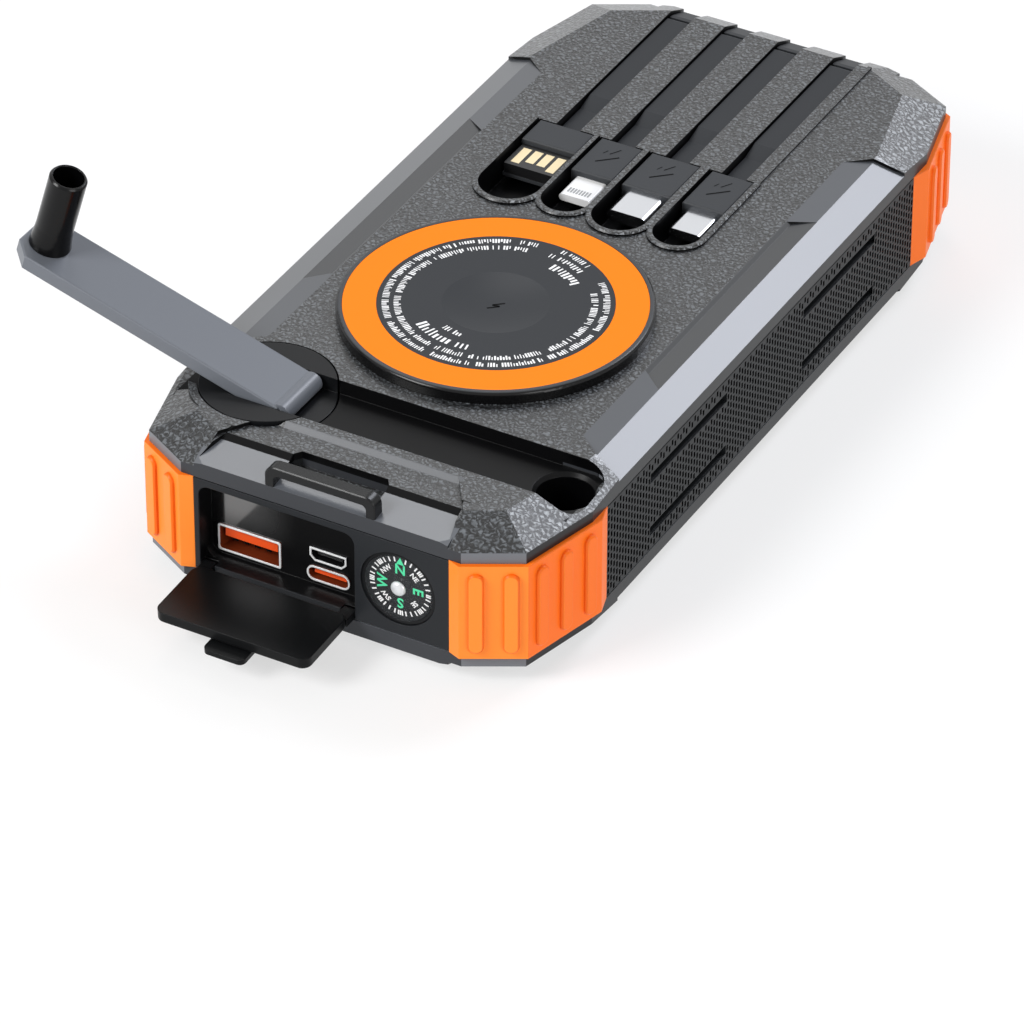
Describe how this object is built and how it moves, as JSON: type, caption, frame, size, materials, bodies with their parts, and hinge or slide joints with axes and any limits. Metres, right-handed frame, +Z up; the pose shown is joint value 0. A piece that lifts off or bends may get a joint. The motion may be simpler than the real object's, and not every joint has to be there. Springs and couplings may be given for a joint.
{
  "type": "hand crank phone charger",
  "caption": "Flat rugged phone charger with a fold-out hand crank, wireless pad, stowed leads, solar face, sockets behind a door, compass and torches.",
  "frame": {"origin": "centre of the flat solar face that the casing lies on", "axes": "+X to the right as seen from the socket end, +Y from the socket end to the torch end, +Z up through the crank face"},
  "size_m": [0.1207, 0.1991, 0.0638],
  "materials": {
    "cover": "grained, matt",
    "frame": "matt",
    "bumper": "matt",
    "solar": "gloss",
    "pad_black": "satin",
    "pad_orange": "satin",
    "pad_grey": "satin",
    "arm_grey": "satin",
    "grip_black": "satin",
    "strap": "matt",
    "plug": "matt",
    "steel": "satin",
    "chrome": "polished",
    "white": "satin",
    "tongue": "satin",
    "lens": "polished",
    "red_lens": "polished",
    "card": "satin",
    "lamp": "satin",
    "board": "satin",
    "chip": "matt",
    "cell": "satin",
    "copper": "satin",
    "ferrite": "matt",
    "gear": "satin"
  },
  "bodies": {
    "casing": {"top_cover": "cover", "bottom_cover": "cover", "mid_frame": "frame", "side_grilles": "frame", "bumper_socket_left": "bumper", "bumper_socket_right": "bumper", "bumper_torch_left": "bumper", "bumper_torch_right": "bumper", "solar_panel": "solar", "case_screws": "steel", "pad_base": "pad_black", "pad_ring": "pad_orange", "pad_face": "pad_grey", "charge_coil": "copper", "ferrite_plate": "ferrite", "pad_magnets": "steel", "battery_cells": "cell", "circuit_boards": "board", "board_parts": "chip", "socket_panel": "frame", "usb_a_shell": "steel", "usb_c_shell": "steel", "micro_usb_shell": "steel", "port_tongues": "tongue", "compass_cup": "grip_black", "compass_lens": "lens", "torch_panel": "frame", "torch_reflectors": "chrome", "torch_lenses": "lens", "torch_lamps": "lamp", "signal_lamp": "red_lens", "lanyard_loop": "grip_black", "gear_plate": "steel", "generator_can": "steel", "generator_stator": "copper", "charge_lights": "white", "lead_roots": "strap"},
    "crank": {"crank_hub": "grip_black", "drive_gear": "gear", "arm_hinge_pin": "steel"},
    "arm": {"crank_arm": "arm_grey", "grip_screw": "steel"},
    "grip": {"grip_sleeve": "grip_black"},
    "idler": {"idler_gear": "gear"},
    "rotor": {"generator_rotor": "steel"},
    "door": {"port_door": "frame"},
    "compass": {"compass_card": "card"},
    "button": {"power_button": "bumper"},
    "usb_a": {"usb_a_lead": "strap", "usb_a_plug": "plug", "usb_a_tip": "chip"},
    "small_tip": {"small_tip_lead": "strap", "small_tip_plug": "plug", "small_tip_tip": "white"},
    "type_c": {"type_c_lead": "strap", "type_c_plug": "plug", "type_c_tip": "steel"},
    "micro_usb": {"micro_usb_lead": "strap", "micro_usb_plug": "plug", "micro_usb_tip": "steel"}
  },
  "joints": [
    {"name": "crank_spin", "type": "hinge", "parent": "casing", "child": "crank", "pos_m": [-0.0252, -0.0644, 0.0318], "axis": [0, 0, 1], "continuous": true},
    {"name": "arm_fold", "type": "hinge", "parent": "crank", "child": "arm", "pos_m": [-0.0193, -0.0644, 0.0303], "axis": [0, 1, 0], "range_deg": [0, 163.5]},
    {"name": "grip_spin", "type": "hinge", "parent": "arm", "child": "grip", "pos_m": [-0.07127, -0.0644, 0.04569], "axis": [0.284, 0, 0.9588], "continuous": true},
    {"name": "idler_spin", "type": "hinge", "parent": "casing", "child": "idler", "pos_m": [-0.0084, -0.0644, 0.0208], "axis": [0, 0, 1], "continuous": true},
    {"name": "rotor_spin", "type": "hinge", "parent": "casing", "child": "rotor", "pos_m": [0.0048, -0.0644, 0.0152], "axis": [0, 0, 1], "continuous": true},
    {"name": "door_swing", "type": "hinge", "parent": "casing", "child": "door", "pos_m": [0, -0.08845, 0.0067], "axis": [1, 0, 0], "range_deg": [-92.5, 0]},
    {"name": "compass_spin", "type": "hinge", "parent": "casing", "child": "compass", "pos_m": [0.0158, -0.0872, 0.0159], "axis": [0, 1, 0], "continuous": true},
    {"name": "button_press", "type": "slide", "parent": "casing", "child": "button", "axis": [1, 0, 0], "range_m": [0, 0.0006], "stiffness_N_per_m": 900, "springref_m": -0.0015},
    {"name": "usb_a_lift", "type": "hinge", "parent": "casing", "child": "usb_a", "pos_m": [-0.0187, 0.08165, 0.03055], "axis": [-1, 0, 0], "range_deg": [0, 100]},
    {"name": "small_tip_lift", "type": "hinge", "parent": "casing", "child": "small_tip", "pos_m": [-0.0068, 0.08165, 0.03055], "axis": [-1, 0, 0], "range_deg": [0, 100]},
    {"name": "type_c_lift", "type": "hinge", "parent": "casing", "child": "type_c", "pos_m": [0.0048, 0.08165, 0.03055], "axis": [-1, 0, 0], "range_deg": [0, 100]},
    {"name": "micro_usb_lift", "type": "hinge", "parent": "casing", "child": "micro_usb", "pos_m": [0.0169, 0.08165, 0.03055], "axis": [-1, 0, 0], "range_deg": [0, 100]}
  ],
  "couplings": [
    {"joint": "idler_spin", "follows": "crank_spin", "ratio": -2.5},
    {"joint": "rotor_spin", "follows": "crank_spin", "ratio": 6.6667}
  ]
}
